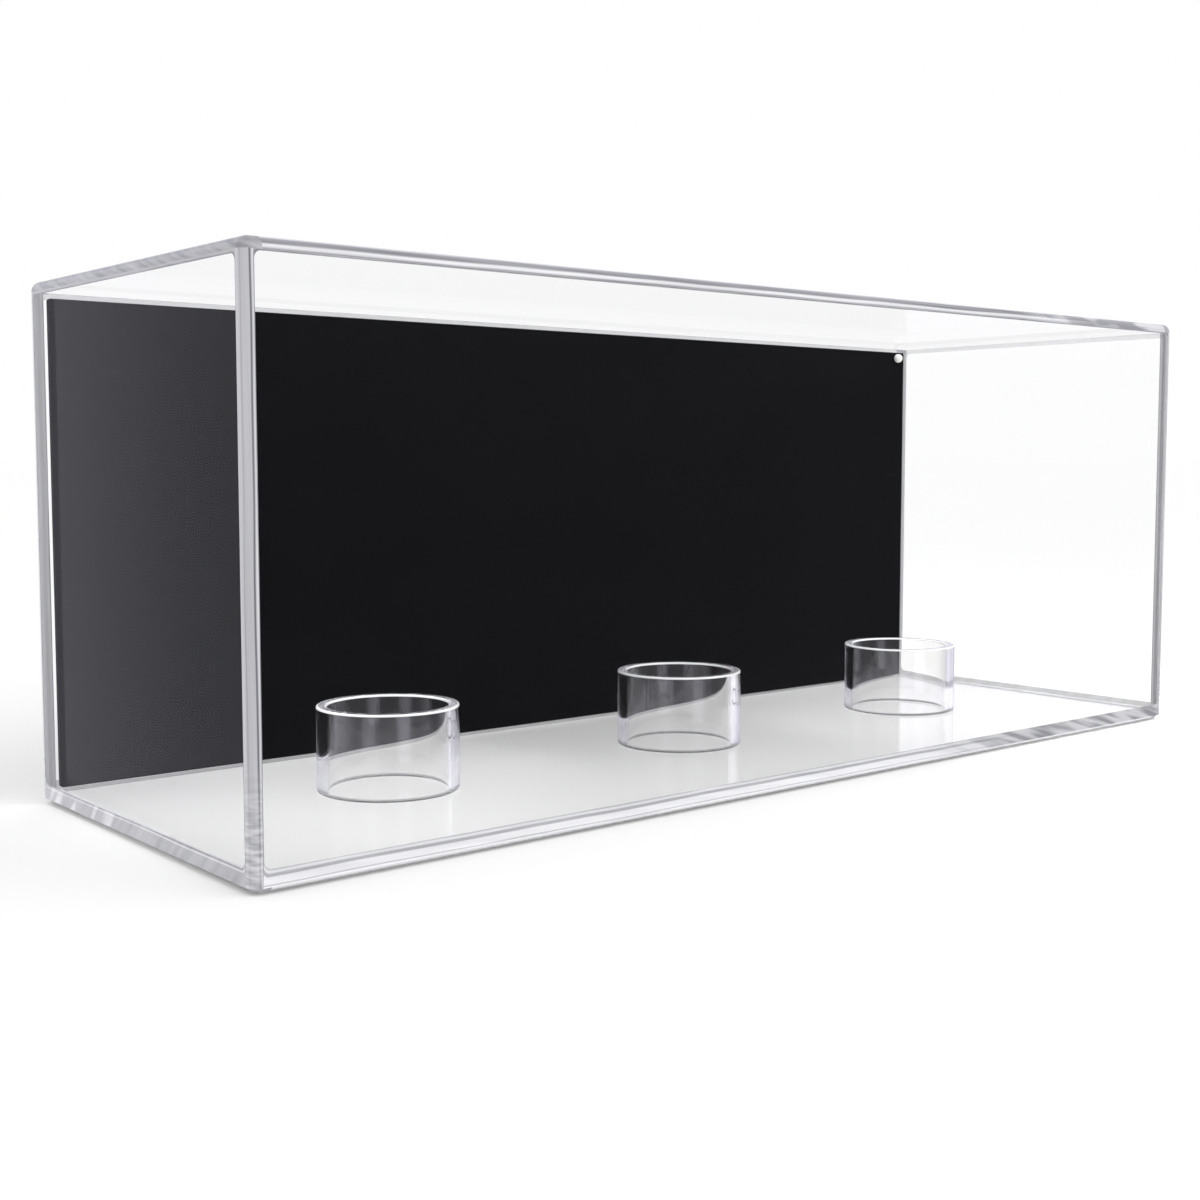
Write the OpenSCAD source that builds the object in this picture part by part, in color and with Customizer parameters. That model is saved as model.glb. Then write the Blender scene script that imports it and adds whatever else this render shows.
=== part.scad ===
// Clear display case for three balls: a lift-off cover of cemented sheets on a base of two sheets,
// three tube rings that hold the balls, and a black backing panel held by one round-headed pin.
// Millimetres. The origin is the middle of the underside, +X runs along the case to the right,
// -Y is the front and +Z is up.

/* [Case] */
// Outer length of the case
case_length = 372; // [330:1:520]
// Outer depth of the case, front to rear
case_depth = 126; // [110:1:200]
// Outer height of the case
case_height = 145; // [120:1:220]
// Thickness of the cover sheets
sheet = 3; // [2:0.1:5]
// Radius of the outer edges of the case
edge_radius = 2.8; // [0.5:0.1:3]

/* [Base] */
// Thickness of the lower sheet, whose rim the cover stands on
base_sheet = 1.5; // [1:0.1:4]
// Thickness of the floor sheet, which locates the cover
floor_sheet = 2.5; // [1.5:0.1:5]
// Gap between the floor sheet and the cover
cover_clearance = 0.4; // [0.2:0.05:1]

/* [Rings] */
// Outside diameter of the tube that the rings are cut from
ring_diameter = 40; // [30:0.5:60]
// Wall of the tube
ring_wall = 3; // [2:0.1:5]
// Height of a ring
ring_height = 24; // [12:0.5:40]
// Distance from the centre of an end ring to the end of the case
ring_from_end = 75; // [45:1:85]
// Chamfer on the rims of a ring
ring_chamfer = 0.6; // [0.2:0.05:0.9]

/* [Backing] */
// Thickness of the black backing panel
backing_thickness = 1.5; // [1:0.1:4]
// Gap between the backing panel and the end sheets
backing_side_gap = 0.8; // [0.4:0.1:3]
// Gap between the backing panel and the top sheet
backing_top_gap = 1.5; // [0.4:0.1:4]
// Radius of the backing panel's corners
backing_corner = 0.8; // [0.3:0.1:3]

/* [Pin] */
// Diameter of the round head of the pin
pin_head = 3.6; // [3:0.1:5]
// Diameter of the stem of the pin
pin_stem = 2; // [1.4:0.1:2.2]
// Distance from the pin to the right edge of the backing panel
pin_from_edge = 4.8; // [3:0.1:12]
// Distance from the pin to the upper edge of the backing panel
pin_from_top = 2.4; // [2:0.1:12]

/* [Hidden] */
$fn = 96;

CLEAR = [0.86, 0.9, 0.92, 0.35];
BLACK = [0.03, 0.03, 0.035];
WHITE = [0.95, 0.95, 0.93];

// Small gap between flat faces that slide on each other
slip = 0.1;
// Radial clearance of the pin in its holes
pin_fit = 0.08;
// Length of the bevel at the end of the pin
pin_point = 0.5;
// Length by which the pin stops short of the outer face of the rear sheet
pin_short = 0.3;
// Width of the flat round the stem where the head of the pin meets the backing panel
pin_seat = 0.35;
// Length by which a cutting shape runs past the solid it cuts
overrun = 1;
// Radius of the floor sheet's corners
floor_corner = 1;

inner_length = case_length - 2 * sheet;
inner_depth = case_depth - 2 * sheet;
floor_length = inner_length - 2 * cover_clearance;
floor_depth = inner_depth - 2 * cover_clearance;
floor_top = base_sheet + floor_sheet;
wall_top = case_height - sheet;
ring_pitch = case_length / 2 - ring_from_end;

rear_inner_y = case_depth / 2 - sheet;
backing_rear_y = rear_inner_y - slip;
backing_front_y = backing_rear_y - backing_thickness;
backing_width = inner_length - 2 * backing_side_gap;
backing_low = floor_top + 2 * slip;
backing_high = wall_top - backing_top_gap;
backing_height = backing_high - backing_low;

pin_x = backing_width / 2 - pin_from_edge;
pin_z = backing_high - pin_from_top;
// The ball of the head is cut flat where it meets the panel, on a circle just wider than the stem
pin_seat_radius = pin_stem / 2 + pin_seat;
pin_head_out = sqrt(pow(pin_head / 2, 2) - pow(pin_seat_radius, 2));
pin_length = backing_thickness + slip + sheet - pin_short;

// Flat rectangle with true arcs at its corners, centred on the origin
module rounded_rectangle(width, height, radius) {
    square([width - 2 * radius, height], center = true);
    square([width, height - 2 * radius], center = true);
    for (x = [-1, 1], y = [-1, 1]) {
        translate([x * (width / 2 - radius), y * (height / 2 - radius)])
            circle(r = radius);
    }
}

// Outside of the closed case, with every edge rounded
module case_form() {
    translate([0, 0, case_height / 2])
        intersection() {
            linear_extrude(case_height, center = true)
                rounded_rectangle(case_length, case_depth, edge_radius);
            rotate([90, 0, 0])
                linear_extrude(case_depth, center = true)
                    rounded_rectangle(case_length, case_height, edge_radius);
            rotate([90, 0, 90])
                linear_extrude(case_length, center = true)
                    rounded_rectangle(case_depth, case_height, edge_radius);
        }
}

// Block between two opposite corners
module block(low, high) {
    translate(low)
        cube(high - low);
}

// The stretch of the case's outside that lies between two opposite corners
module case_slice(low, high) {
    intersection() {
        case_form();
        block(low, high);
    }
}

// Hole for the pin, along Y through the backing panel and the rear sheet
module pin_hole() {
    translate([pin_x, case_depth / 2 + overrun, pin_z])
        rotate([90, 0, 0])
            cylinder(r = pin_stem / 2 + pin_fit, h = sheet + backing_thickness + slip + 2 * overrun);
}

module base_plate() {
    color(CLEAR)
        case_slice([-case_length, -case_depth, 0], [case_length, case_depth, base_sheet]);
}

module floor_plate() {
    color(CLEAR)
        translate([0, 0, base_sheet])
            linear_extrude(floor_sheet)
                rounded_rectangle(floor_length, floor_depth, floor_corner);
}

module top_panel() {
    color(CLEAR)
        case_slice([-case_length, -case_depth, wall_top], [case_length, case_depth, case_height]);
}

module front_panel() {
    color(CLEAR)
        case_slice([-case_length, -case_depth, base_sheet], [case_length, -inner_depth / 2, wall_top]);
}

module rear_panel() {
    color(CLEAR)
        difference() {
            case_slice([-case_length, inner_depth / 2, base_sheet], [case_length, case_depth, wall_top]);
            pin_hole();
        }
}

module left_panel() {
    color(CLEAR)
        case_slice([-case_length, -inner_depth / 2, base_sheet],
                   [-inner_length / 2, inner_depth / 2, wall_top]);
}

module right_panel() {
    color(CLEAR)
        case_slice([inner_length / 2, -inner_depth / 2, base_sheet],
                   [case_length, inner_depth / 2, wall_top]);
}

module backing_panel() {
    color(BLACK)
        difference() {
            translate([0, backing_rear_y, (backing_low + backing_high) / 2])
                rotate([90, 0, 0])
                    linear_extrude(backing_thickness)
                        rounded_rectangle(backing_width, backing_height, backing_corner);
            pin_hole();
        }
}

module backing_pin() {
    color(WHITE)
        translate([pin_x, backing_front_y, pin_z])
            rotate([-90, 0, 0]) {
                intersection() {
                    translate([0, 0, -pin_head_out])
                        sphere(d = pin_head);
                    translate([0, 0, -pin_head])
                        cylinder(d = 2 * pin_head, h = pin_head);
                }
                translate([0, 0, -pin_head_out])
                    cylinder(d = pin_stem, h = pin_head_out + pin_length - pin_point);
                translate([0, 0, pin_length - pin_point])
                    cylinder(d1 = pin_stem, d2 = pin_stem - 2 * pin_point, h = pin_point);
            }
}

// Half section of a ring, bevelled on all four rims, to be turned about the upright axis
module ring_section() {
    outer = ring_diameter / 2;
    inner = outer - ring_wall;
    polygon([
        [inner + ring_chamfer, 0],
        [outer - ring_chamfer, 0],
        [outer, ring_chamfer],
        [outer, ring_height - ring_chamfer],
        [outer - ring_chamfer, ring_height],
        [inner + ring_chamfer, ring_height],
        [inner, ring_height - ring_chamfer],
        [inner, ring_chamfer]
    ]);
}

// Ring at a place in the row: -1 is the left one, 0 the centre one and 1 the right one
module ring(place) {
    color(CLEAR)
        translate([place * ring_pitch, 0, floor_top])
            rotate_extrude()
                ring_section();
}

module left_ring() {
    ring(-1);
}

module centre_ring() {
    ring(0);
}

module right_ring() {
    ring(1);
}

base_plate();
floor_plate();
top_panel();
front_panel();
rear_panel();
left_panel();
right_panel();
backing_panel();
backing_pin();
left_ring();
centre_ring();
right_ring();
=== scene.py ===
"""Clear display case for three balls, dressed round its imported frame.

The five cover sheets, the two base sheets, the three tube rings and the pin are rebuilt as clean meshes
with rounded edges. The faces that are cemented together let light pass straight on, so the cover reads as
one clear box while each sheet stays a piece of its own.
"""
import math
from typing import NamedTuple

import bmesh
import bpy
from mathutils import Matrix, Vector


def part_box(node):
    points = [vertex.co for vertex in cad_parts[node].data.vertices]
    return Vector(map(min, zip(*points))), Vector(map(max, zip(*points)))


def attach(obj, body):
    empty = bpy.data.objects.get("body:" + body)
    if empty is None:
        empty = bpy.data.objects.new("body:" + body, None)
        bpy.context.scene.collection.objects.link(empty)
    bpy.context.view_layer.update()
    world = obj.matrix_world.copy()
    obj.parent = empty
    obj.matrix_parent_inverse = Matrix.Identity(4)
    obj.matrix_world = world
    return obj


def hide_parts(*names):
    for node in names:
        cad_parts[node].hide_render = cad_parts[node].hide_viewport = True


bl_info = {
    "name": "Clear Ball Display Case",
    "version": (1, 0, 0),
    "blender": (4, 5, 0),
    "location": "View3D > Sidebar > Display Case",
    "description": "Builds a clear display case with ring stands and a black backing panel",
    "category": "Add Mesh",
}

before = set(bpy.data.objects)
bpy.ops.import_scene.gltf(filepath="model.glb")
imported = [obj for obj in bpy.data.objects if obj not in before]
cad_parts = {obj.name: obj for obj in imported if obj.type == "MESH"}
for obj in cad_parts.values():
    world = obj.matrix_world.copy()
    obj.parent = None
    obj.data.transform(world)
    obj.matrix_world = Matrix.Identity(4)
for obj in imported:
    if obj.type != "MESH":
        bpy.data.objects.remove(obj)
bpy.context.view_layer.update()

TOP_LOW, TOP_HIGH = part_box("top_panel")
FRONT_LOW, FRONT_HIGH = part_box("front_panel")
REAR_LOW, REAR_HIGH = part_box("rear_panel")
LEFT_LOW, LEFT_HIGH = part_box("left_panel")
RIGHT_LOW, RIGHT_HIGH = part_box("right_panel")
BASE_LOW, BASE_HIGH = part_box("base_plate")
FLOOR_LOW, FLOOR_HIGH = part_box("floor_plate")
PIN_LOW, PIN_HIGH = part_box("backing_pin")

HALF_TURN = math.pi
QUARTER_TURN = math.pi / 2
MILLIMETRE = 0.001
# Distance within which two points of a mesh become one
WELD = 1e-7
# Faces round the pin and round its hole
PIN_STEPS = 32

# Values between which nearly all of a noise texture lies
NOISE_RANGE = {"start": 0.3, "end": 0.7}
# Layer Weight values between which the light of an edge starts to stay in the sheet
FLAT_ANGLES = {"start": 0.2, "end": 0.34}
# How far the lines in an edge wander across it, and the scale along and across of the noise they follow
WANDER = 0.00015
WANDER_SCALE = (25.0, 50.0, 1.0)
# Multiple of the painted inner width at which an edge is fully open
PAINTED_INNER_FADE = 1.1

# Kinds of surface on a clear sheet. FRAMED stands for an outer face that gets a border of its own.
(FACE, JOINT, SEAM, RAIL, END_RAIL, POST, BORDER, SILL, END_SILL, FOOT, END_FOOT, REAR_FOOT, STEP,
 FRAMED) = range(14)
# Kind that an edge has where it runs along an end or the rear of the case
AT_THE_ENDS = {RAIL: END_RAIL, FOOT: END_FOOT}
AT_THE_REAR = {FOOT: REAR_FOOT}
# Kinds of surface on a ring
TUBE, RIM, FOOT_RIM = range(3)
# UV map that runs along each edge (u) and across it (v), in metres
EDGE_RUN = "edge_run"


class FaceLook(NamedTuple):
    """How the open faces of a sheet look"""

    gloss: float  # strength of the reflections
    passed: float = 0.996  # share of the lamps' light that passes
    bend: float = 1.0  # index of refraction, 1 where what is behind shows unbent


FACE_LOOKS = {"roof": FaceLook(0.06), "wall": FaceLook(0.04), "end": FaceLook(0.17, passed=0.93),
              "far_end": FaceLook(0.1), "floor": FaceLook(0.0, bend=1.16), "under": FaceLook(0.0)}


class PaintedRipple(NamedTuple):
    """Patches of painted light and shade that grow along an edge, away from a calm stretch, standing in
    for the glints and dark flecks that the wavy polish throws. Places are in metres along the edge.
    """

    ground: float  # grey that the edge fades to under the patches
    low: float  # change of grey between the patches
    high: float  # change of grey on the patches
    middle: float  # place of the middle of the calm stretch
    calm: float  # half the length of the calm stretch
    full: float  # distance from the middle at which the patches are at their strongest
    length: float  # size of a patch along the edge
    width: float  # size of a patch across the edge
    slant: float = 0.0  # degrees between a patch and the edge
    cut: float = 0.5  # noise level at which a patch starts
    blur: float = 0.2  # noise level over which it fades
    kept: float = 0.0  # share of the plain edge that stays in the ground


class EdgeLook(NamedTuple):
    """How a polished edge looks from outside the case, drawn in greys of painted light and shade, and how
    much shows through it from inside
    """

    name: str
    painted_greys: tuple  # (millimetres across, dark 0 to pale 1) pairs of painted light and shade
    polish_sheen: float = 0.2  # contrast of the painted sheen along the polish streaks
    length: float = 0.012  # metres along the edge that a streak runs
    width: float = 0.0013  # metres across the edge that a streak takes
    slant: float = 10.0  # degrees between a streak and the edge
    painted_ripple: PaintedRipple = None
    inner: tuple = ((0.0, 1.0), (1.0, 1.0))  # the same painted pairs from inside, over the painted inner width
    milky: float = 0.0  # millimetres across that are painted from inside, in place of the floor and lines seen through, with their shade
    veil: float = 1.0  # how much the painted part hides
    clear: float = 0.99  # share seen through from inside elsewhere
    trapped: float = 0.97  # the same at a flat angle, where the light stays in the sheet
    passed: float = 0.75  # share of the lamps' light that passes


WALL_HEIGHT = TOP_LOW[2]
WALL_LENGTH = FRONT_HIGH[0] - FRONT_LOW[0]
WALL_DEPTH = LEFT_HIGH[1] - LEFT_LOW[1]
# Way round the case from the right rear corner to the middle of the left end
HALF_ROUND = WALL_LENGTH + WALL_DEPTH / 2
# Front foot: the dark lines at its underside are a painted contact shadow, and its pale band is a painted
# highlight.
FRONT_FOOT = EdgeLook(
    "foot", ((0.0, 0.05), (1.25, 0.05), (1.6, 0.7), (1.85, 1.0), (3.05, 1.0)),
    polish_sheen=0.08, length=0.02, passed=0.2)
# All these greys are painted light and shade: the pale and dark bands, lines and patches stand in for the
# reflections, refractions, highlights and contact shadows of clear polished edges.
EDGE_LOOKS = {
    SEAM: EdgeLook(
        "seam", ((0.0, 0.4), (0.2, 0.55), (0.5, 0.58), (0.9, 0.54), (1.2, 0.44), (1.9, 0.44), (2.2, 0.58),
                 (2.65, 0.58), (2.85, 0.33), (3.0, 0.25)),
        polish_sheen=0.06, length=0.05, width=0.0008, slant=1.0, milky=4.0,
        inner=((0.0, 0.36), (1.1, 0.34), (1.4, 0.57), (2.2, 0.57), (2.5, 0.43), (3.0, 0.47))),
    RAIL: EdgeLook(
        "rail", ((0.0, 0.24), (0.25, 0.24), (0.35, 0.5), (0.6, 0.66), (0.95, 0.72), (1.15, 0.6),
                 (1.35, 0.28), (1.55, 0.15), (2.7, 0.15), (3.0, 0.28), (3.3, 0.6), (4.6, 0.48)),
        polish_sheen=0.1, length=0.06, width=0.0009, slant=1.0, clear=0.985, trapped=0.95,
        painted_ripple=PaintedRipple(0.38, 0.16, -0.24, HALF_ROUND, HALF_ROUND - 0.1, HALF_ROUND - 0.03,
                      0.024, 0.004, slant=10.0, blur=0.06)),
    END_RAIL: EdgeLook(
        "end_rail", ((0.0, 0.28), (2.0, 0.18), (4.6, 0.1)),
        polish_sheen=0.14, length=0.03, width=0.0012, slant=14.0, clear=0.97, trapped=0.9),
    POST: EdgeLook(
        "post", ((0.0, 0.58), (0.8, 0.52), (1.3, 0.45), (1.45, 0.3), (1.6, 0.3), (1.75, 0.43), (3.5, 0.43),
                 (3.62, 0.15), (3.75, 0.0), (3.9, 0.0), (4.02, 0.2), (4.15, 0.52), (4.6, 0.62)),
        polish_sheen=0.05, length=0.08, slant=1.0, milky=5.0,
        inner=((0.0, 0.38), (0.4, 0.42), (0.8, 0.75), (2.2, 0.72), (3.2, 0.6), (4.6, 0.6)),
        painted_ripple=PaintedRipple(0.5, -0.16, 0.16, 0.6 * WALL_HEIGHT, 0.37 * WALL_HEIGHT, 0.54 * WALL_HEIGHT,
                      0.0012, 0.005, blur=0.14, kept=0.4)),
    BORDER: EdgeLook(
        "border", ((0.0, 0.2), (0.15, 0.08), (0.3, 0.3), (0.5, 0.38), (1.8, 0.38)),
        polish_sheen=0.05, milky=3.0, veil=0.75),
    SILL: EdgeLook(
        "sill", ((0.0, 0.4), (0.22, 0.4), (0.32, 0.7), (0.9, 0.7), (1.0, 0.35), (1.65, 0.35),
                 (1.8, 0.8), (3.4, 0.86), (3.55, 0.55), (3.75, 0.55), (3.9, 1.0), (4.1, 1.0)),
        polish_sheen=0.08, length=0.03, slant=4.0, milky=5.0, veil=0.7,
        painted_ripple=PaintedRipple(0.34, 0.16, -0.22, WALL_LENGTH, 0.62 * WALL_LENGTH, 0.8 * WALL_LENGTH,
                      0.03, 0.0028, slant=16.0, blur=0.08)),
    END_SILL: EdgeLook(
        "end_sill", ((0.0, 0.24), (0.45, 0.34), (0.6, 0.72), (0.85, 0.72), (1.0, 0.4), (4.1, 0.4)),
        polish_sheen=0.1, length=0.02, width=0.003, slant=40.0, milky=1.9, veil=0.75,
        inner=((0.0, 0.57), (4.1, 0.57)),
        painted_ripple=PaintedRipple(0.4, 0.0, 0.4, WALL_DEPTH, 0.35 * WALL_DEPTH, 0.75 * WALL_DEPTH,
                      0.026, 0.006, slant=45.0, cut=0.55, blur=0.06, kept=0.7)),
    FOOT: FRONT_FOOT,
    END_FOOT: EdgeLook(
        "end_foot", ((0.0, 0.2), (0.8, 0.46), (1.5, 0.32), (2.2, 0.42), (2.6, 0.32), (3.05, 0.38)),
        polish_sheen=0.1, length=0.02, width=0.003, slant=40.0, passed=0.25),
    REAR_FOOT: FRONT_FOOT._replace(name="rear_foot", milky=4.0, veil=0.5),
    STEP: EdgeLook("step", ((0.0, 0.8), (2.7, 0.9)), polish_sheen=0.15, clear=1.0, trapped=1.0),
}
# How far the look of the ends runs round the corners on to the front and the rear
SHOULDER = 0.0022


class CaseSizes(bpy.types.PropertyGroup):
    """Sizes that the frame's boxes don't give"""

    edge_radius: bpy.props.FloatProperty(
        name="Edge Radius", description="Radius of the outer edges of the case",
        default=0.0028, min=0.0005, max=0.003, unit="LENGTH")
    edge_steps: bpy.props.IntProperty(
        name="Edge Steps", description="Faces across a rounded edge", default=10, min=2, max=24)
    floor_corner: bpy.props.FloatProperty(
        name="Floor Corner", description="Radius of the corners of the floor sheet",
        default=0.001, min=0.0002, max=0.003, unit="LENGTH")
    floor_edge: bpy.props.FloatProperty(
        name="Floor Edge", description="Radius of the upper edges of the floor sheet",
        default=0.0003, min=0.0001, max=0.001, unit="LENGTH")
    air_gap: bpy.props.FloatProperty(
        name="Air Gap", description="Air between clear faces that only rest on each other",
        default=0.00004, min=0.00001, max=0.0002, unit="LENGTH")
    border_width: bpy.props.FloatProperty(
        name="Border Width", description="Width of the cement that shows under the upper edges",
        default=0.00035, min=0.0001, max=0.003, unit="LENGTH")
    end_border: bpy.props.FloatProperty(
        name="End Border", description="The same on the left sheet",
        default=0.0009, min=0.0001, max=0.003, unit="LENGTH")
    far_border: bpy.props.FloatProperty(
        name="Far Border", description="The same on the rear and right sheets",
        default=0.0016, min=0.0001, max=0.004, unit="LENGTH")
    border_side: bpy.props.FloatProperty(
        name="Border Side", description="Width of the cement that shows beside the uprights",
        default=0.0002, min=0.0001, max=0.003, unit="LENGTH")
    sill_height: bpy.props.FloatProperty(
        name="Sill Height", description="Height of the band that the base's edge shows in the walls",
        default=0.0041, min=0.0005, max=0.006, unit="LENGTH")
    far_sill: bpy.props.FloatProperty(
        name="Far Sill", description="The same on the rear and right sheets",
        default=0.0039, min=0.0005, max=0.006, unit="LENGTH")
    upper_corner: bpy.props.FloatProperty(
        name="Upper Corner", description="Radius of the border's upper corners",
        default=0.0018, min=0.0002, max=0.005, unit="LENGTH")
    lower_corner: bpy.props.FloatProperty(
        name="Lower Corner", description="Radius of the border's lower corners",
        default=0.002, min=0.0002, max=0.005, unit="LENGTH")
    ring_wall: bpy.props.FloatProperty(
        name="Ring Wall", description="Wall of the tube that the rings are cut from",
        default=0.003, min=0.002, max=0.005, unit="LENGTH")
    ring_bevel: bpy.props.FloatProperty(
        name="Ring Bevel", description="Rounding of the rims of a ring",
        default=0.0006, min=0.0002, max=0.001, unit="LENGTH")
    ring_steps: bpy.props.IntProperty(
        name="Ring Steps", description="Faces round a ring", default=160, min=48, max=256)
    pin_stem: bpy.props.FloatProperty(
        name="Pin Stem", description="Diameter of the stem of the pin",
        default=0.002, min=0.001, max=0.003, unit="LENGTH")
    pin_hole: bpy.props.FloatProperty(
        name="Pin Hole", description="Diameter of the hole for the pin",
        default=0.00216, min=0.001, max=0.003, unit="LENGTH")


class CaseFinishes(bpy.types.PropertyGroup):
    """Colours and finishes of the case and its stage"""

    acrylic_tint: bpy.props.FloatVectorProperty(
        name="Acrylic Tint", description="Tint of the clear sheets",
        subtype="COLOR", default=(0.990, 0.991, 0.996), min=0.0, max=1.0)
    tube_tint: bpy.props.FloatVectorProperty(
        name="Tube Tint", description="Tint of the clear rings",
        subtype="COLOR", default=(1.0, 0.998, 0.982), min=0.0, max=1.0)
    # The edges' greys blend between these two colours: the pale one is painted light, the dark one painted
    # shade.
    edge_painted_light: bpy.props.FloatVectorProperty(
        name="Pale Edge", description="Paler streaks of the polished edges",
        subtype="COLOR", default=(0.93, 0.93, 0.955), min=0.0, max=1.0)
    edge_painted_shade: bpy.props.FloatVectorProperty(
        name="Dark Edge", description="Darker streaks of the polished edges",
        subtype="COLOR", default=(0.15, 0.15, 0.17), min=0.0, max=1.0)
    # Painted highlight: the upper rims are drawn near white in place of the light they catch.
    rim_painted_highlight: bpy.props.FloatVectorProperty(
        name="White Rim", description="Bright upper rims of the rings",
        subtype="COLOR", default=(0.86, 0.86, 0.87), min=0.0, max=1.0)
    refraction: bpy.props.FloatProperty(
        name="Refraction", description="Index of refraction of the rings, the edges and the gloss",
        default=1.49, min=1.3, max=1.7)
    backing_colour: bpy.props.FloatVectorProperty(
        name="Backing Colour", description="Colour of the backing panel",
        subtype="COLOR", default=(0.003, 0.003, 0.0035), min=0.0, max=1.0)
    pin_colour: bpy.props.FloatVectorProperty(
        name="Pin Colour", description="Colour of the pin",
        subtype="COLOR", default=(0.9, 0.9, 0.88), min=0.0, max=1.0)
    table_colour: bpy.props.FloatVectorProperty(
        name="Table Colour", description="Colour of the pale surface under the case",
        subtype="COLOR", default=(0.99, 0.99, 0.99), min=0.0, max=1.0)


class NodeSheet:
    """Adds and links the nodes of one material or world"""

    def __init__(self, tree):
        self.tree = tree
        tree.nodes.clear()

    def add(self, kind, links=(), **values):
        """One node: links are (input, source) pairs, and values set its own settings."""
        node = self.tree.nodes.new(kind)
        for key, value in values.items():
            setattr(node, key, value)
        for key, source in links:
            if isinstance(source, bpy.types.NodeSocket):
                self.tree.links.new(source, node.inputs[key])
            else:
                node.inputs[key].default_value = source
        return node

    def noise(self, vector, scale=1.0, detail=3.0):
        node = self.add("ShaderNodeTexNoise", [("Vector", vector), ("Scale", scale), ("Detail", detail)])
        return node.outputs["Fac"]

    def range(self, value, low, high, start=0.0, end=1.0, smooth=False):
        kind = "SMOOTHSTEP" if smooth else "LINEAR"
        node = self.add("ShaderNodeMapRange",
                        [("Value", value), ("From Min", start), ("From Max", end),
                         ("To Min", low), ("To Max", high)], interpolation_type=kind)
        return node.outputs["Result"]

    def maths(self, operation, first, second):
        node = self.add("ShaderNodeMath", [(0, first), (1, second)], operation=operation)
        return node.outputs["Value"]

    def vectors(self, operation, first, second=(0.0, 0.0, 0.0), result="Vector"):
        node = self.add("ShaderNodeVectorMath", [(0, first), (1, second)], operation=operation)
        return node.outputs[result]

    def stretched(self, vector, scale, turn=0.0):
        """A vector turned by some degrees about Z and then scaled."""
        turned = self.add("ShaderNodeMapping",
                          [("Vector", vector), ("Rotation", (0.0, 0.0, math.radians(turn)))])
        scaled = self.add("ShaderNodeMapping", [("Vector", turned.outputs["Vector"]), ("Scale", scale)])
        return scaled.outputs["Vector"]

    def blend(self, share, first, second):
        node = self.add("ShaderNodeMix", [(0, share), (6, first), (7, second)],
                        data_type="RGBA", clamp_factor=True)
        return node.outputs[2]

    def between(self, share, first, second):
        return self.add("ShaderNodeMix", [(0, share), (2, first), (3, second)]).outputs[0]

    def object_place(self):
        return self.add("ShaderNodeTexCoord").outputs["Object"]

    def split(self, vector):
        return self.add("ShaderNodeSeparateXYZ", [("Vector", vector)]).outputs

    def from_behind(self):
        """1 on the back of a face, else 0."""
        return self.add("ShaderNodeNewGeometry").outputs["Backfacing"]

    def mirrored(self):
        """1 for a ray that has been mirrored, else 0."""
        depth = self.add("ShaderNodeLightPath").outputs["Glossy Depth"]
        return self.maths("GREATER_THAN", depth, 0.5)

    def bump(self, height, strength, distance):
        node = self.add("ShaderNodeBump",
                        [("Strength", strength), ("Distance", distance), ("Height", height)])
        return node.outputs["Normal"]

    def plastic(self, *links):
        return self.add("ShaderNodeBsdfPrincipled", links).outputs["BSDF"]

    def see_through(self, colour):
        return self.add("ShaderNodeBsdfTransparent", [("Color", colour)]).outputs["BSDF"]

    def mix(self, share, first, second):
        return self.add("ShaderNodeMixShader", [("Fac", share), (1, first), (2, second)]).outputs["Shader"]

    def surface(self, shader, owner="Material"):
        self.add("ShaderNodeOutput" + owner, [("Surface", shader)])


def rgba(colour):
    return (*colour, 1.0)


def grey(level):
    return (level, level, level, 1.0)


def shaded(colour, share):
    return rgba([share * channel for channel in colour])


def new_material(name):
    material = bpy.data.materials.new(name)
    material.use_nodes = True
    return material, NodeSheet(material.node_tree)


def let_lamps_through(sheet, shader, passed):
    """Rays that carry light, not sight, pass straight through: passed is the share that is left."""
    path = sheet.add("ShaderNodeLightPath")
    carries_light = sheet.maths("MAXIMUM", path.outputs["Is Shadow Ray"], path.outputs["Is Diffuse Ray"])
    sheet.surface(sheet.mix(carries_light, shader, sheet.see_through(grey(passed))))


def clear_face_material(name, look, finishes):
    """Polished clear sheet with faint wiping marks and a slightly wavy gloss."""
    material, sheet = new_material(name)
    place = sheet.object_place()
    wipes = sheet.noise(sheet.stretched(place, (9.0, 9.0, 30.0)), 4.0, detail=5.0)
    wave = sheet.noise(place, 14.0, detail=1.0)
    shader = sheet.plastic(("Base Color", sheet.blend(wipes, rgba(finishes.acrylic_tint), grey(1.0))),
                           ("Roughness", 0.0), ("IOR", look.bend), ("Transmission Weight", 1.0),
                           ("Coat Weight", look.gloss), ("Coat IOR", finishes.refraction),
                           ("Coat Roughness", 0.01),
                           ("Coat Normal", sheet.bump(wave, strength=0.05, distance=0.00005)))
    let_lamps_through(sheet, shader, look.passed)
    return material


def clear_tube_material(name, finishes):
    """Solid clear tube that bends what is seen through it, with faint upright drawing lines."""
    material, sheet = new_material(name)
    lines = sheet.noise(sheet.stretched(sheet.object_place(), (1.0, 1.0, 0.05)), 300.0, detail=2.0)
    shader = sheet.plastic(("Base Color", sheet.blend(lines, rgba(finishes.tube_tint), grey(1.0))),
                           ("Roughness", sheet.range(lines, 0.0, 0.02, start=0.4, end=0.8)),
                           ("IOR", finishes.refraction), ("Transmission Weight", 0.9965),
                           ("Normal", sheet.bump(lines, strength=0.1, distance=0.00002)))
    let_lamps_through(sheet, shader, passed=0.97)
    return material


def cement_material(name):
    """Clear cement between two sheets: light goes straight on, a little dimmed by a thick film."""
    material, sheet = new_material(name)
    film = sheet.noise(sheet.object_place(), 220.0)
    sheet.surface(sheet.see_through(sheet.blend(film, grey(0.99), grey(1.0))))
    return material


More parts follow.
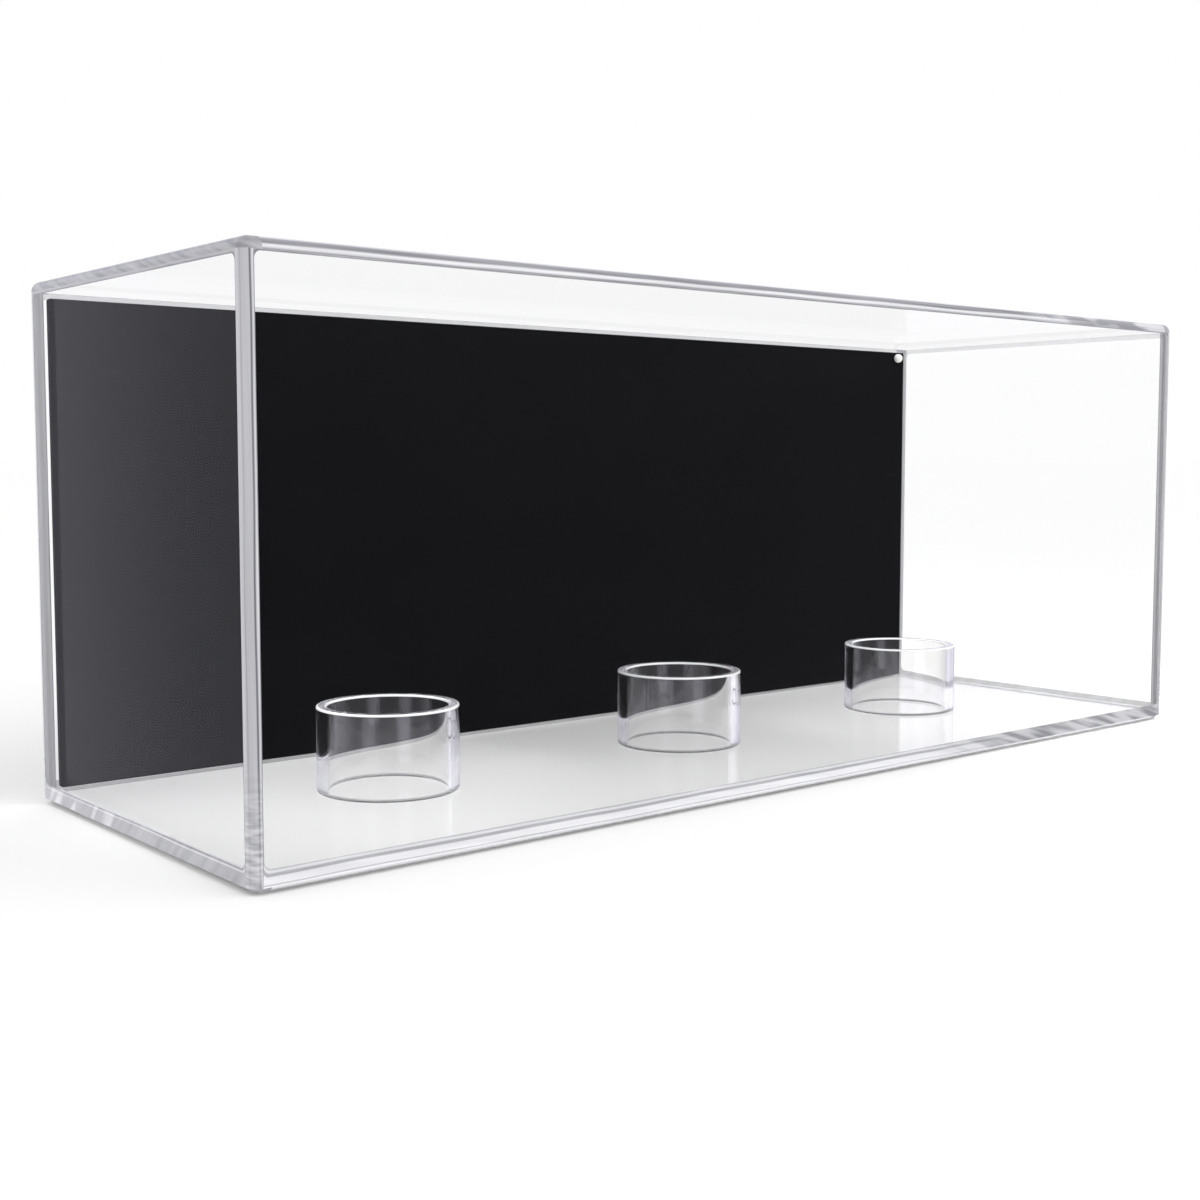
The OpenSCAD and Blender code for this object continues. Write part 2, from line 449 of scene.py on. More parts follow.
def set_greys(ramp, painted_greys, width):
    """Writes (distance, grey) pairs into a colour ramp that spans a width."""
    while len(ramp.elements) < len(painted_greys):
        ramp.elements.new(1.0)
    for element, (distance, level) in zip(ramp.elements, painted_greys):
        element.position = distance / width
        element.color = grey(level)


def painted_grey_across(sheet, across, painted_greys):
    """Painted grey level of light and shade at a distance across an edge, from (millimetres, grey) pairs.
    """
    width = painted_greys[-1][0]
    share = sheet.range(across, 0.0, 1.0, end=width * MILLIMETRE)
    profile = sheet.add("ShaderNodeValToRGB", [("Fac", share)])
    set_greys(profile.color_ramp, painted_greys, width)
    return profile.outputs["Color"]


def painted_plastic_shader(sheet, colour, marks, refraction):
    """Milky polished plastic with a clear coat, whose colour carries the painted light and shade: marks
    roughen it and make it uneven.
    """
    return sheet.plastic(("Base Color", colour), ("Roughness", sheet.range(marks, 0.1, 0.25)),
                         ("IOR", refraction), ("Specular IOR Level", 0.2), ("Coat Weight", 0.06),
                         ("Coat IOR", refraction), ("Coat Roughness", 0.04),
                         ("Normal", sheet.bump(marks, strength=0.2, distance=0.0001)))


def seen_from_inside(sheet, painted_plastic, clear, trapped, opened=1.0):
    """Lets the share clear, at a flat angle trapped, show through an opened face from behind."""
    flatness = sheet.add("ShaderNodeLayerWeight").outputs["Facing"]
    inside = sheet.maths("MULTIPLY", sheet.from_behind(), opened)
    seen = sheet.range(flatness, clear, trapped, smooth=True, **FLAT_ANGLES)
    return sheet.mix(sheet.maths("MULTIPLY", inside, seen), painted_plastic, sheet.see_through(grey(0.98)))


def add_painted_ripples(sheet, run, along, level, painted_ripple):
    """Grey level of an edge with its patches of painted light and shade, from its level without them."""
    from_middle = sheet.maths("ABSOLUTE", sheet.maths("SUBTRACT", along, painted_ripple.middle), 0.0)
    strength = sheet.range(from_middle, 0.0, 1.0, start=painted_ripple.calm, end=painted_ripple.full, smooth=True)
    place = sheet.stretched(run, (1 / painted_ripple.length, 1 / painted_ripple.width, 1.0), painted_ripple.slant)
    patches = sheet.range(sheet.noise(place, detail=1.0), painted_ripple.low, painted_ripple.high,
                          start=painted_ripple.cut - painted_ripple.blur, end=painted_ripple.cut + painted_ripple.blur)
    ground = sheet.between(painted_ripple.kept, painted_ripple.ground, level)
    return sheet.between(strength, level, sheet.maths("ADD", patches, ground))


def edge_material(look, finishes):
    """Polished edge of a clear sheet, drawn as milky plastic whose greys are painted light and shade,
    streaked along its run.
    """
    material, sheet = new_material("painted_edge_" + look.name)
    run = sheet.add("ShaderNodeUVMap", uv_map=EDGE_RUN).outputs["UV"]
    place = sheet.split(run)
    streaks = sheet.noise(sheet.stretched(run, (1 / look.length, 1 / look.width, 1.0), look.slant))
    drift = sheet.noise(sheet.stretched(run, WANDER_SCALE), detail=1.0)
    across = sheet.maths("ADD", place["Y"], sheet.range(drift, -WANDER, WANDER, **NOISE_RANGE))
    polish_sheens = sheet.range(streaks, -look.polish_sheen, look.polish_sheen, **NOISE_RANGE)
    level = sheet.maths("ADD", painted_grey_across(sheet, across, look.painted_greys), polish_sheens)
    if look.painted_ripple:
        level = add_painted_ripples(sheet, run, place["X"], level, look.painted_ripple)
    opened = 1.0
    # Seen from inside, the painted inner greys stand in for the shaded floor and the lines that show
    # through the edge.
    if look.milky:
        inner = sheet.maths("ADD", painted_grey_across(sheet, across, look.inner), polish_sheens)
        level = sheet.between(sheet.from_behind(), level, inner)
        depth = look.milky * MILLIMETRE
        opened = sheet.range(across, 1.0 - look.veil, 1.0, start=depth, end=PAINTED_INNER_FADE * depth)
    # Painted light and shade: the greys run from the painted shade colour to the painted light colour.
    colour = sheet.blend(level, rgba(finishes.edge_painted_shade), rgba(finishes.edge_painted_light))
    painted_plastic = painted_plastic_shader(sheet, colour, streaks, finishes.refraction)
    shader = seen_from_inside(sheet, painted_plastic, look.clear, look.trapped, opened)
    let_lamps_through(sheet, shader, look.passed)
    return material


def rim_material(name, bright, dull, finishes):
    """Cut and polished rim of a tube ring, with fine saw marks. Its colours are painted: a painted
    highlight on the upper rims, painted shade on the feet.
    """
    material, sheet = new_material(name)
    marks = sheet.noise(sheet.stretched(sheet.object_place(), (1.0, 1.0, 3.0)), 700.0, detail=2.0)
    painted_plastic = painted_plastic_shader(sheet, sheet.blend(marks, dull, bright), marks, finishes.refraction)
    let_lamps_through(sheet, seen_from_inside(sheet, painted_plastic, clear=0.6, trapped=0.3), passed=0.8)
    return material


def backing_material(finishes):
    """Satin black sheet with a fine grain and faint handling marks."""
    material, sheet = new_material("satin_black_sheet")
    place = sheet.object_place()
    grain = sheet.noise(place, 2600.0, detail=2.0)
    marks = sheet.noise(sheet.stretched(place, (1.0, 1.0, 2.5)), 16.0, detail=6.0)
    colour = sheet.blend(marks, rgba(finishes.backing_colour), shaded(finishes.backing_colour, 1.5))
    sheet.surface(sheet.plastic(("Base Color", colour), ("Specular IOR Level", 0.045),
                                ("Roughness", sheet.range(marks, 0.41, 0.46, **NOISE_RANGE)),
                                ("Normal", sheet.bump(grain, strength=0.12, distance=0.00005))))
    return material


def pin_material(finishes):
    """Moulded white nylon, slightly mottled."""
    material, sheet = new_material("white_nylon_pin")
    mottle = sheet.noise(sheet.object_place(), 900.0)
    colour = sheet.blend(mottle, shaded(finishes.pin_colour, 0.9), rgba(finishes.pin_colour))
    sheet.surface(sheet.plastic(("Base Color", colour), ("Roughness", sheet.range(mottle, 0.35, 0.5)),
                                ("Normal", sheet.bump(mottle, strength=0.1, distance=0.00005))))
    return material


def sheet_finish(kind, face, finishes):
    """Material for a kind of surface on a clear sheet with a face of some look, made once."""
    if kind == FACE:
        name = "clear_face_" + face
        return bpy.data.materials.get(name) or clear_face_material(name, FACE_LOOKS[face], finishes)
    if kind == JOINT:
        return bpy.data.materials.get("clear_cement") or cement_material("clear_cement")
    look = EDGE_LOOKS[kind]
    return bpy.data.materials.get("painted_edge_" + look.name) or edge_material(look, finishes)


def quarter_arc(centre, radius, quarter, steps):
    """Points of a quarter circle about a centre, anticlockwise from some quarter turns on."""
    points = []
    for step in range(steps + 1):
        angle = (quarter + step / steps) * QUARTER_TURN
        points.append((centre[0] + radius * math.cos(angle), centre[1] + radius * math.sin(angle)))
    return points


def outline(half_x, half_y, radius, steps):
    """Points of a rounded rectangle, anticlockwise. A radius of zero repeats the corner points.

    Each corner also has a shoulder point on the front or the rear.
    """
    points = []
    for quarter, (side_x, side_y) in enumerate(((1, 1), (-1, 1), (-1, -1), (1, -1))):
        centre = (side_x * (half_x - radius), side_y * (half_y - radius))
        arc = quarter_arc(centre, radius, quarter, steps)
        shoulder = [(side_x * (half_x - radius - SHOULDER), side_y * half_y)]
        points += shoulder + arc if quarter % 2 else arc + shoulder
    return points


def add_loop(mesh, points, height):
    return [mesh.verts.new((point[0], point[1], height)) for point in points]


def add_face(mesh, verts, kind, run=()):
    """One face of a kind: run is the (along, across) place of each of its verts."""
    face = mesh.faces.new(verts)
    face.material_index = kind
    layer = mesh.loops.layers.uv.verify()
    for loop, place in zip(face.loops, run):
        loop[layer].uv = place
    return face


def add_wall(mesh, lower, upper, kind, across=0.0):
    """Faces between two loops that have as many points. Returns the distance across the edge so far."""
    beside = across + max((high.co - low.co).length for low, high in zip(lower, upper))
    along = 0.0
    for index in range(len(lower)):
        after = (index + 1) % len(lower)
        beyond = along + (lower[after].co - lower[index].co).length
        face = add_face(mesh, (lower[index], lower[after], upper[after], upper[index]), kind,
                        [(along, across), (beyond, across), (beyond, beside), (along, beside)])
        face.normal_update()
        # The faces of a corner are no longer than its shoulder
        at_a_corner = beyond - along < 1.1 * SHOULDER
        if abs(face.normal.x) > abs(face.normal.y) or at_a_corner:
            face.material_index = AT_THE_ENDS.get(kind, kind)
        elif face.normal.y > 0:
            face.material_index = AT_THE_REAR.get(kind, kind)
        along = beyond
    return beside


def add_object(name, data):
    thing = bpy.data.objects.new(name, data)
    bpy.context.scene.collection.objects.link(thing)
    return thing


def add_mesh(name, mesh):
    """Object with a finished bmesh."""
    data = bpy.data.meshes.new(name)
    mesh.to_mesh(data)
    mesh.free()
    return add_object(name, data)


def finish_piece(name, mesh, finish, body, node):
    """Piece that rides on a body and stands for a node: finish gives the material for each kind."""
    bmesh.ops.remove_doubles(mesh, verts=mesh.verts, dist=WELD)
    bmesh.ops.recalc_face_normals(mesh, faces=mesh.faces)
    crease = math.radians(35)
    for edge in mesh.edges:
        edge.smooth = edge.is_manifold and edge.calc_face_angle(HALF_TURN) < crease
    kinds = sorted({face.material_index for face in mesh.faces})
    for face in mesh.faces:
        face.smooth = True
        face.material_index = kinds.index(face.material_index)
    piece = add_mesh(name, mesh)
    if piece.data.uv_layers:
        piece.data.uv_layers[0].name = EDGE_RUN
    for kind in kinds:
        piece.data.materials.append(finish(kind))
    level = piece.modifiers.new("true flats", "WEIGHTED_NORMAL")
    level.weight = 100
    level.keep_sharp = True
    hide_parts(node)
    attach(piece, body)


def finish_sheets(sheets, body, ending, finishes):
    """Finishes clear sheets of a body: sheets has the mesh and the look of the faces under each name."""
    for name, (mesh, face) in sheets.items():
        finish_piece(name + "_sheet", mesh, lambda kind: sheet_finish(kind, face, finishes),
                     body, name + ending)


def slab(loops, kinds, bottom, top):
    """Solid from a stack of loops: kinds are those of the walls between, bottom and top of the caps."""
    mesh = bmesh.new()
    rows = [add_loop(mesh, points, height) for points, height in loops]
    across, last = 0.0, None
    for lower, upper, kind in zip(rows, rows[1:], kinds):
        across = add_wall(mesh, lower, upper, kind, across if kind == last else 0.0)
        last = kind
    add_face(mesh, rows[0][::-1], bottom)
    add_face(mesh, rows[-1], top)
    return mesh


def rounded_rim(half_x, half_y, corner, top, radius, rounding, steps):
    """Loops up a rounded upper edge: corner is the radius in plan and radius that of the edge itself."""
    loops = []
    for step in range(rounding + 1):
        angle = step / rounding * QUARTER_TURN
        inset = radius * (1 - math.cos(angle))
        loops.append((outline(half_x - inset, half_y - inset, corner - inset, steps),
                      top - radius * (1 - math.sin(angle))))
    return loops


def top_sheet(sizes):
    """Upper sheet: rounded upper edges, cemented to the walls under its rim."""
    half_x, half_y = TOP_HIGH[:2]
    radius, steps = sizes.edge_radius, sizes.edge_steps
    loops = [(outline(RIGHT_LOW[0], REAR_LOW[1], 0.0, steps), TOP_LOW[2]),
             (outline(half_x, half_y, radius, steps), TOP_LOW[2])]
    loops += rounded_rim(half_x, half_y, radius, TOP_HIGH[2], radius, steps, steps)
    return slab(loops, [SEAM] + [RAIL] * (steps + 1), FACE, FACE)


def base_sheet(sizes):
    """Lower sheet: rounded from its underside up to the rim that the cover stands on."""
    half_x, half_y = BASE_HIGH[:2]
    radius, steps = sizes.edge_radius, sizes.edge_steps
    last = math.acos(1 - (BASE_HIGH[2] - BASE_LOW[2]) / radius)
    loops = []
    for step in range(steps + 1):
        angle = last * step / steps
        inset = radius * (1 - math.sin(angle))
        loops.append((outline(half_x - inset, half_y - inset, radius - inset, steps),
                      BASE_LOW[2] + radius * (1 - math.cos(angle))))
    loops.append((outline(*FLOOR_HIGH[:2], sizes.floor_corner, steps), BASE_HIGH[2]))
    return slab(loops, [FOOT] * steps + [JOINT], FACE, JOINT)


def floor_sheet(sizes):
    """Upper base sheet that the rings stand on, cemented to the lower one."""
    half_x, half_y = FLOOR_HIGH[:2]
    corner, steps = sizes.floor_corner, sizes.edge_steps
    rounding = 4
    loops = [(outline(half_x, half_y, corner, steps), FLOOR_LOW[2])]
    loops += rounded_rim(half_x, half_y, corner, FLOOR_HIGH[2], sizes.floor_edge, rounding, steps)
    return slab(loops, [STEP] * (rounding + 1), JOINT, FACE)


def framed_face(mesh, corners, frame_look, sizes):
    """Outer face of a wall with a border round it: corners are its verts from the lower start round.

    frame_look is the kind of its sill, the sill's height and the border's width. Returns the open
    face inside the border.
    """
    sill, low, border = frame_look
    origin = corners[0].co.copy()
    along = corners[1].co - origin
    upward = corners[3].co - origin
    wide, tall = along.length, upward.length
    along.normalize()
    upward.normalize()
    side, lower, upper, high = sizes.border_side, sizes.lower_corner, sizes.upper_corner, tall - border
    centres = [(side + lower, low + lower, lower, 2), (wide - side - lower, low + lower, lower, 3),
               (wide - side - upper, high - upper, upper, 0), (side + upper, high - upper, upper, 1)]
    arcs = []
    for *centre, radius, quarter in centres:
        arcs.append([(mesh.verts.new(origin + along * place[0] + upward * place[1]), place)
                     for place in quarter_arc(centre, radius, quarter, sizes.edge_steps)])
    outer = list(zip(corners, ((0.0, 0.0), (wide, 0.0), (wide, tall), (0.0, tall))))

    def patch(spots, kind, axis, widths):
        run = [(place[axis], width) for (vert, place), width in zip(spots, widths)]
        add_face(mesh, [vert for vert, place in spots], kind, run)

    sides = ((sill, 0, low), (BORDER, 1, side), (BORDER, 0, border), (BORDER, 1, side))
    for index, (kind, axis, width) in enumerate(sides):
        after = (index + 1) % 4
        patch((outer[index], outer[after], arcs[after][0], arcs[index][-1]), kind, axis,
              (width, width, 0.0, 0.0))
    for index, arc in enumerate(arcs):
        kind, width = (sill, low) if index < 2 else (BORDER, border)
        for here, beyond in zip(arc, arc[1:]):
            patch((outer[index], beyond, here), kind, 0, (width, 0.0, 0.0))
    return add_face(mesh, [vert for arc in arcs for vert, place in arc], FACE)


def upright_sheet(points, kinds, low, high, frame_look, sizes, hole=None):
    """Wall over a plan of (x, y, across) points: kinds are those of the surface after each point."""
    mesh = bmesh.new()
    lower = add_loop(mesh, points, low)
    upper = add_loop(mesh, points, high)
    open_faces = []
    for index, kind in enumerate(kinds):
        after = (index + 1) % len(points)
        corners = (lower[index], lower[after], upper[after], upper[index])
        start, end = points[index][2], points[after][2]
        if kind == FRAMED:
            open_faces.append(framed_face(mesh, corners, frame_look, sizes))
        else:
            face = add_face(mesh, corners, kind, [(low, start), (low, end), (high, end), (high, start)])
            if kind == FACE:
                open_faces.append(face)
    add_face(mesh, lower, JOINT)
    add_face(mesh, upper, JOINT)
    if hole:
        pierce(mesh, open_faces, hole)
    return mesh


def wall_frame(sill, side, border, sizes):
    """Frame look of a near wall (side -1) with its own border, or of a far wall (side 1)."""
    if side < 0:
        return sill, sizes.sill_height, border
    return sill, sizes.far_sill, sizes.far_border


def long_sheet(low, high, side, sizes, hole=None):
    """Front sheet (side -1) or rear sheet (side 1), with its outer uprights rounded."""
    radius, steps = sizes.edge_radius, sizes.edge_steps
    half_x = high[0]
    outer, inner = (low[1], high[1]) if side < 0 else (high[1], low[1])
    straight = abs(outer - inner) - radius
    end = [(half_x, inner, 0.0)]
    for step in range(steps + 1):
        angle = step / steps * QUARTER_TURN
        end.append((half_x - radius * (1 - math.cos(angle)), outer - side * radius * (1 - math.sin(angle)),
                    straight + radius * angle))
    points = end + [(-x, y, across) for x, y, across in reversed(end)]
    seam = half_x - RIGHT_LOW[0]
    points += [(-RIGHT_LOW[0], inner, seam), (RIGHT_LOW[0], inner, seam)]
    posts = [POST] * (len(end) - 1)
    kinds = posts + [FRAMED] + posts + [SEAM, FACE, SEAM]
    frame_look = wall_frame(SILL, side, sizes.border_width, sizes)
    return upright_sheet(points, kinds, low[2] + sizes.air_gap, high[2], frame_look, sizes, hole)


def end_sheet(low, high, side, sizes):
    """Left sheet (side -1) or right sheet (side 1), cemented between the front and rear sheets."""
    outer, inner = (low[0], high[0]) if side < 0 else (high[0], low[0])
    seam = high[0] - low[0]
    points = [(inner, low[1], seam), (inner, high[1], seam), (outer, high[1], 0.0), (outer, low[1], 0.0)]
    kinds = [FACE, SEAM, FRAMED, SEAM]
    frame_look = wall_frame(END_SILL, side, sizes.end_border, sizes)
    return upright_sheet(points, kinds, low[2] + sizes.air_gap, high[2], frame_look, sizes)


def pierce(mesh, faces, hole):
    """Round hole along Y through two flat faces: hole is (x, z, radius)."""
    centre_x, centre_z, radius = hole
    rims = []
    for face in faces:
        depth = face.verts[0].co.y
        rim = []
        for step in range(PIN_STEPS):
            angle = 2 * HALF_TURN * step / PIN_STEPS
            rim.append(mesh.verts.new((centre_x + radius * math.cos(angle), depth,
                                       centre_z + radius * math.sin(angle))))
        edges = list(face.edges)
        edges += [mesh.edges.new((rim[step], rim[(step + 1) % PIN_STEPS])) for step in range(PIN_STEPS)]
        bmesh.ops.delete(mesh, geom=[face], context="FACES_ONLY")
        filled = bmesh.ops.triangle_fill(mesh, use_beauty=True, use_dissolve=False, edges=edges)
        for part in filled["geom"]:
            if isinstance(part, bmesh.types.BMFace):
                part.material_index = FACE
        rims.append(rim)
    add_wall(mesh, rims[0], rims[1], STEP)


def lathe(profile, steps, place, kinds=None):
    """Turned solid: profile is a row of (radius, height) points, and place puts them in space.

    With kinds, one for each point, the row is closed and the surface after a point is of that kind.
    """
    mesh = bmesh.new()
    rows = []
    for step in range(steps):
        angle = 2 * HALF_TURN * step / steps
        rows.append([mesh.verts.new(place(radius * math.cos(angle), radius * math.sin(angle), height))
                     for radius, height in profile])
    for step in range(steps):
        here, after = rows[step], rows[(step + 1) % steps]
        for index in range(len(profile) if kinds else len(profile) - 1):
            beyond = (index + 1) % len(profile)
            face = mesh.faces.new((here[index], after[index], after[beyond], here[beyond]))
            face.material_index = kinds[index] if kinds else 0
    return mesh


def ring_profile(outer, wall, height, bevel):
    """Section of a tube ring with its four rims rounded, and the kind of surface after each point."""
    steps = 4
    corners = [(outer - bevel, bevel, -1, FOOT_RIM), (outer - bevel, height - bevel, 0, RIM),
               (outer - wall + bevel, height - bevel, 1, RIM), (outer - wall + bevel, bevel, 2, FOOT_RIM)]
    points, kinds = [], []
    for *centre, quarter, kind in corners:
        points += quarter_arc(centre, bevel, quarter, steps)
        kinds += [kind] * steps + [TUBE]
    return points, kinds


def tube_ring(node, sizes):
    low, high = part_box(node)
    centre_x, centre_y = (low[0] + high[0]) / 2, (low[1] + high[1]) / 2
    foot = low[2] + sizes.air_gap
    points, kinds = ring_profile((high[0] - low[0]) / 2, sizes.ring_wall, high[2] - foot, sizes.ring_bevel)
    return lathe(points, sizes.ring_steps, lambda x, y, z: (centre_x + x, centre_y + y, foot + z), kinds)


def pin_profile(sizes):
    """Half section of the pin along its own length: ball head at the front, stem with a bevelled end."""
    head = (PIN_HIGH[0] - PIN_LOW[0]) / 2
    stem = sizes.pin_stem / 2
    length = PIN_HIGH[1] - PIN_LOW[1]
    bevel = 0.25 * sizes.pin_stem
    steps = 20
    neck = HALF_TURN - math.asin(stem / head)
    points = []
    for step in range(steps + 1):
        angle = neck * step / steps
        points.append((head * math.sin(angle), head * (1 - math.cos(angle))))
    points += [(stem, length - bevel), (stem - bevel, length), (0.0, length)]
    return points


def pin_axis():
    return (PIN_LOW[0] + PIN_HIGH[0]) / 2, (PIN_LOW[2] + PIN_HIGH[2]) / 2


def turned_pin(sizes):
    centre_x, centre_z = pin_axis()
    return lathe(pin_profile(sizes), PIN_STEPS,
                 lambda x, y, z: (centre_x + x, PIN_LOW[1] + z, centre_z + y))


class CASE_OT_cover_sheets(bpy.types.Operator):
    """Builds the five clear sheets of the lift-off cover"""

    bl_idname = "display_case.cover_sheets"
    bl_label = "Cover Sheets"

    def execute(self, context):
        sizes = context.scene.case_sizes
        hole = (*pin_axis(), sizes.pin_hole / 2)
        sheets = {
            "top": (top_sheet(sizes), "roof"),
            "front": (long_sheet(FRONT_LOW, FRONT_HIGH, -1, sizes), "wall"),
            "rear": (long_sheet(REAR_LOW, REAR_HIGH, 1, sizes, hole), "wall"),
            "left": (end_sheet(LEFT_LOW, LEFT_HIGH, -1, sizes), "end"),
            "right": (end_sheet(RIGHT_LOW, RIGHT_HIGH, 1, sizes), "far_end"),
        }
        finish_sheets(sheets, "cover", "_panel", context.scene.case_finishes)
        return {"FINISHED"}


class CASE_OT_base_sheets(bpy.types.Operator):
    """Builds the two clear sheets of the base"""

    bl_idname = "display_case.base_sheets"
    bl_label = "Base Sheets"

    def execute(self, context):
        sizes = context.scene.case_sizes
        sheets = {"base": (base_sheet(sizes), "under"), "floor": (floor_sheet(sizes), "floor")}
        finish_sheets(sheets, "base", "_plate", context.scene.case_finishes)
        return {"FINISHED"}


class CASE_OT_rings(bpy.types.Operator):
    """Builds the three clear tube rings that hold the balls"""

    bl_idname = "display_case.rings"
    bl_label = "Ring Stands"

    def execute(self, context):
        sizes = context.scene.case_sizes
        finishes = context.scene.case_finishes
        # The upper rims carry a painted highlight and the feet painted shade.
        clear = {
            TUBE: clear_tube_material("clear_tube", finishes),
            RIM: rim_material("painted_highlight_rim", rgba(finishes.rim_painted_highlight), shaded(finishes.rim_painted_highlight, 0.9),
                              finishes),
            FOOT_RIM: rim_material("painted_shade_foot_rim", shaded(finishes.edge_painted_light, 0.35),
                                   shaded(finishes.edge_painted_shade, 0.3), finishes),
        }
        for place in ("left", "centre", "right"):
            node = place + "_ring"
            finish_piece(place + "_tube_ring", tube_ring(node, sizes), clear.get, node + "_stand", node)
        return {"FINISHED"}


class CASE_OT_backing(bpy.types.Operator):
    """Gives the backing panel its satin black finish"""

    bl_idname = "display_case.backing"
    bl_label = "Backing Panel"

    def execute(self, context):
        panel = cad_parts["backing_panel"]
        panel.data.materials.clear()
        panel.data.materials.append(backing_material(context.scene.case_finishes))
        return {"FINISHED"}


class CASE_OT_pin(bpy.types.Operator):
    """Builds the round-headed pin that holds the backing panel"""

    bl_idname = "display_case.pin"
    bl_label = "Backing Pin"

    def execute(self, context):
        nylon = pin_material(context.scene.case_finishes)
        finish_piece("round_head_pin", turned_pin(context.scene.case_sizes), lambda kind: nylon,
                     "pin", "backing_pin")
        return {"FINISHED"}


def table_material(finishes):
    """Pale table: round the case a reflection looks past it at the studio."""
    material, sheet = new_material("pale_table")
    place = sheet.object_place()
    cloud = sheet.noise(place, 3.0, detail=2.0)
    colour = sheet.blend(cloud, rgba(finishes.table_colour), grey(1.0))
    matt = sheet.add("ShaderNodeBsdfDiffuse", [("Color", colour)]).outputs["BSDF"]
    distance = sheet.vectors("ABSOLUTE", place)
    sides = sheet.split(sheet.vectors("DIVIDE", distance, (BASE_HIGH[0], BASE_HIGH[1], 1.0)))
    beside = sheet.maths("GREATER_THAN", sheet.maths("MAXIMUM", sides["X"], sides["Y"]), 1.0)
    looked_past = sheet.maths("MULTIPLY", sheet.mirrored(), beside)
    sheet.surface(sheet.mix(looked_past, matt, sheet.see_through(grey(1.0))))
    return material


# Direction and strength of each strip lamp in the room that a mirrored ray sees
STRIP_LAMPS = (((-0.088, -0.996, 0.0), 1.2), ((-0.907, -0.422, 0.0), 1.0), ((1.0, -0.02, 0.0), 0.6),
               ((-0.2, 0.98, 0.0), 0.7))
# Cosine of the angle from the middle of a strip lamp to its edge
STRIP_EDGE = 0.965
ROOM_TINT = (0.9, 0.89, 1.0, 1.0)
# Name, place along and towards the rear, watts and degrees of spread of the lamps over the floor sheet
GRID_LAMPS = (("left_grid", -0.122, 0.02, 0.03, 14.0), ("right_grid", 0.145, 0.0, 0.045, 18.0))
GRID_HEIGHT, GRID_SIZE = 0.55, 0.06


def light_studio(scene):
    """White all round, but a mirrored ray sees a room: backdrop behind, softbox above and strip lamps."""
    world = bpy.data.worlds.new("soft_studio")
    scene.world = world
    world.use_nodes = True
    sheet = NodeSheet(world.node_tree)
    white = sheet.add("ShaderNodeBackground", [("Color", grey(1.0))])
    direction = sheet.add("ShaderNodeTexCoord").outputs["Generated"]
    level = sheet.vectors("NORMALIZE", sheet.vectors("MULTIPLY", direction, (1.0, 1.0, 0.0)))
    height = sheet.split(direction)["Z"]

    def towards(axis):
        return sheet.vectors("DOT_PRODUCT", level, axis, "Value")

    total = sheet.range(towards((0.0, 1.0, 0.0)), 0.35, 1.0, start=-0.1, end=0.6, smooth=True)
    total = sheet.maths("ADD", total, sheet.range(height, 0.0, 1.0, start=0.5, end=0.85, smooth=True))
    reach = sheet.range(height, 1.0, 0.0, start=0.45, end=0.7, smooth=True)
    for axis, strength in STRIP_LAMPS:
        strip = sheet.range(towards(axis), 0.0, strength, start=STRIP_EDGE, smooth=True)
        total = sheet.maths("ADD", total, sheet.maths("MULTIPLY", strip, reach))
    room = sheet.add("ShaderNodeBackground", [("Color", ROOM_TINT), ("Strength", total)])
    seen = sheet.mix(sheet.mirrored(), white.outputs["Background"], room.outputs["Background"])
    sheet.surface(seen, "World")


def add_lamp(name, place, target, size, watts, spread=180.0):
    """Square soft lamp at a place that shines at a target."""
    lamp = bpy.data.lights.new(name, "AREA")
    lamp.size = size
    lamp.energy = watts
    lamp.spread = math.radians(spread)
    holder = add_object(name, lamp)
    holder.location = place
    holder.rotation_euler = (Vector(place) - Vector(target)).to_track_quat("Z", "Y").to_euler()


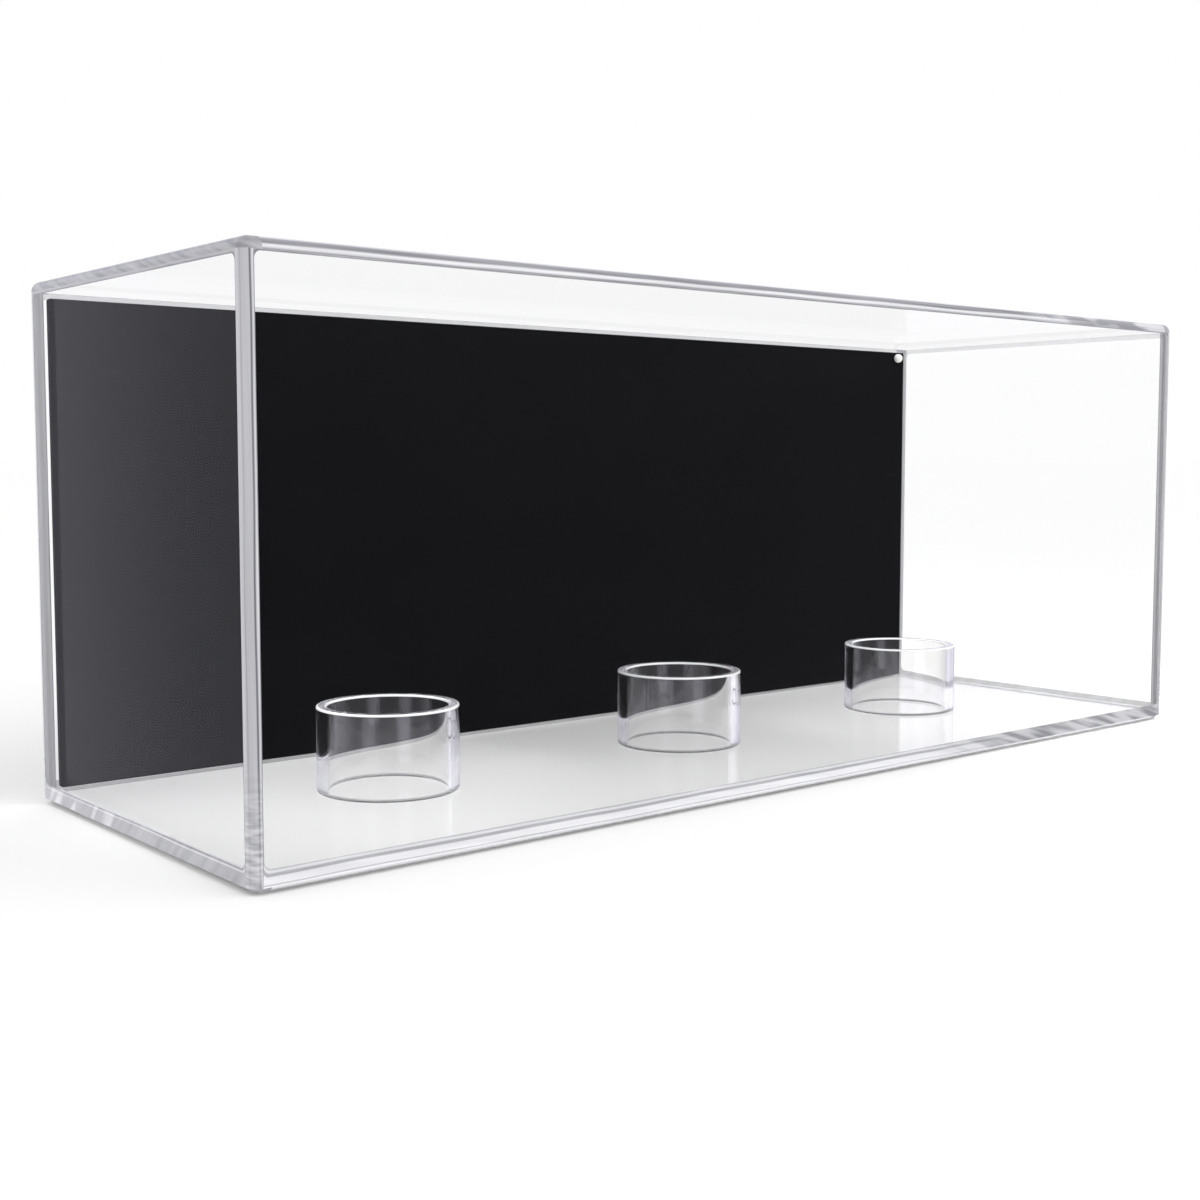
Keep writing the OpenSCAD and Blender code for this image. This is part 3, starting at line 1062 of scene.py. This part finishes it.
class CASE_OT_stage(bpy.types.Operator):
    """Sets the pale table, the soft studio light and the camera"""

    bl_idname = "display_case.stage"
    bl_label = "Stage"

    def execute(self, context):
        scene = context.scene
        mesh = bmesh.new()
        reach, under = 20.0, -0.0002
        corners = [(-reach, -reach), (reach, -reach), (reach, reach), (-reach, reach)]
        mesh.faces.new(add_loop(mesh, corners, under))
        table = add_mesh("table_top", mesh)
        table.data.materials.append(table_material(scene.case_finishes))

        light_studio(scene)
        add_lamp("front_softbox", (0.25, -0.5, 0.5), (0.0, 0.0, 0.0), size=0.5, watts=1.2)
        for name, along, back, watts, spread in GRID_LAMPS:
            add_lamp(name, (along, back, GRID_HEIGHT), (along, back, 0.0), GRID_SIZE, watts, spread)

        lens = bpy.data.cameras.new("photo_view")
        lens.sensor_width = 36.0
        lens.lens = 47.17
        lens.shift_y = -0.0215
        camera = add_object("photo_view", lens)
        camera.location = (-0.34527, -0.37398, 0.09747)
        camera.rotation_euler = (math.radians(85.677), 0.0, math.radians(-39.815))
        scene.camera = camera

        scene.view_settings.view_transform = "Standard"
        scene.cycles.max_bounces = 24
        scene.cycles.transmission_bounces = 24
        scene.cycles.glossy_bounces = 12
        scene.cycles.transparent_max_bounces = 48
        return {"FINISHED"}


class VIEW3D_PT_display_case(bpy.types.Panel):
    """Lists the steps that build the case"""

    bl_label = "Display Case"
    bl_space_type = "VIEW_3D"
    bl_region_type = "UI"
    bl_category = "Display Case"

    def draw(self, context):
        for operator in OPERATORS:
            self.layout.operator(operator.bl_idname)
        for group in (context.scene.case_sizes, context.scene.case_finishes):
            for key in group.__annotations__:
                self.layout.prop(group, key)


OPERATORS = (CASE_OT_cover_sheets, CASE_OT_base_sheets, CASE_OT_rings, CASE_OT_backing, CASE_OT_pin,
             CASE_OT_stage)
CLASSES = (CaseSizes, CaseFinishes, *OPERATORS, VIEW3D_PT_display_case)


def register():
    for each in CLASSES:
        bpy.utils.register_class(each)
    bpy.types.Scene.case_sizes = bpy.props.PointerProperty(type=CaseSizes)
    bpy.types.Scene.case_finishes = bpy.props.PointerProperty(type=CaseFinishes)


def unregister():
    del bpy.types.Scene.case_finishes
    del bpy.types.Scene.case_sizes
    for each in reversed(CLASSES):
        bpy.utils.unregister_class(each)


def main():
    register()
    bpy.ops.display_case.cover_sheets()
    bpy.ops.display_case.base_sheets()
    bpy.ops.display_case.rings()
    bpy.ops.display_case.backing()
    bpy.ops.display_case.pin()
    bpy.ops.display_case.stage()


if __name__ == "__main__":
    main()
